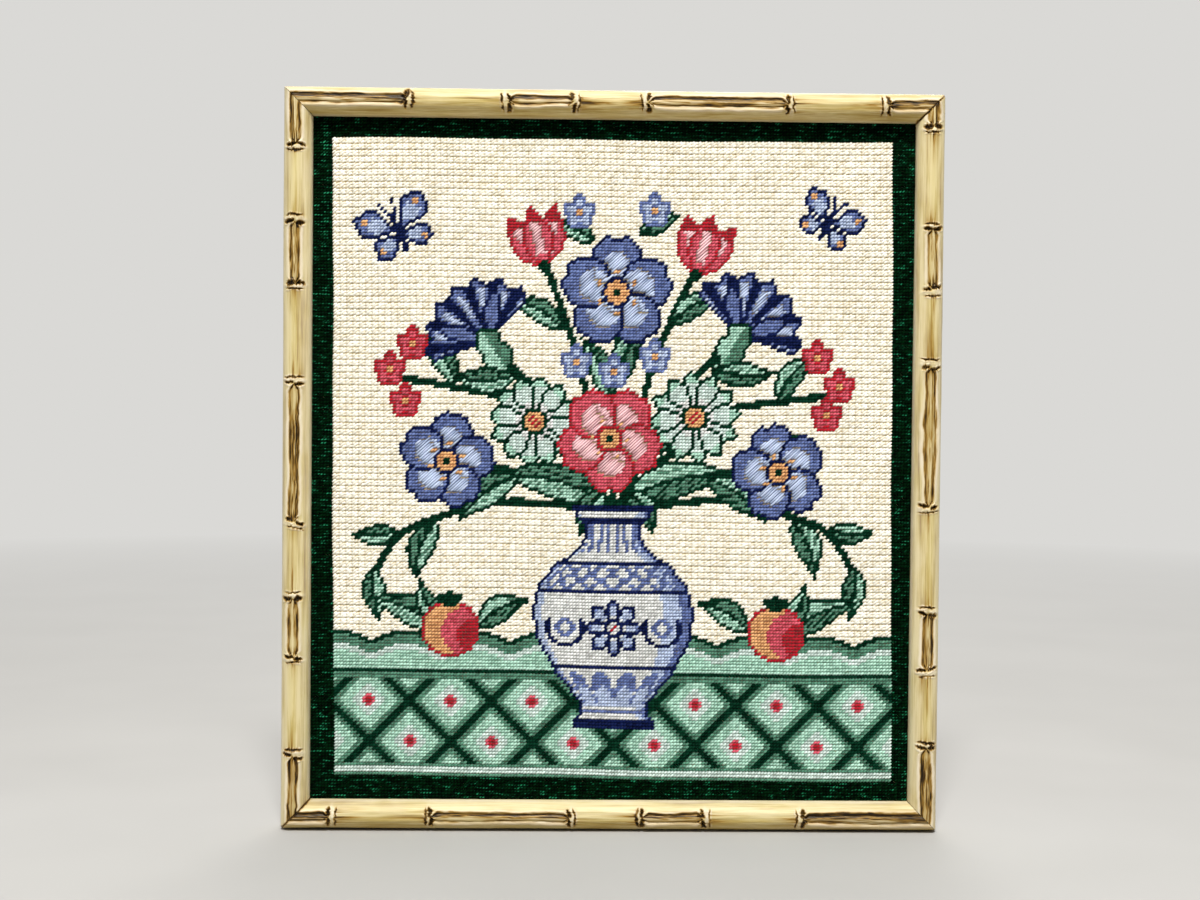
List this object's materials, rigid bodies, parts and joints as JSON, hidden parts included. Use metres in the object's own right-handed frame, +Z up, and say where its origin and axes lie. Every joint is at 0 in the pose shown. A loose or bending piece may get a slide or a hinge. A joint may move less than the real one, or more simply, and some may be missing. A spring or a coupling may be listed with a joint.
{
  "type": "needlepoint picture in a carved wooden frame",
  "caption": "Needlepoint picture of flowers in a vase, stitched in wool with a dark green border, in a carved bamboo-look wooden frame.",
  "frame": {"origin": "middle of the ledge under the top rail's back, in the plane of the back, where the picture hangs", "axes": "+Z up the picture, +Y out of its back into the wall, +X to the right as seen from the front"},
  "size_m": [0.418, 0.0204, 0.469],
  "materials": {
    "wood": "satin, honey coloured, with brown stain in the carving",
    "needlepoint": "matt wool stitches",
    "board": "plain matt board"
  },
  "bodies": {
    "root": {"rail_top": "wood", "rail_bottom": "wood", "stile_left": "wood", "stile_right": "wood", "needlepoint_canvas": "needlepoint", "mount_board": "board"}
  },
  "joints": []
}
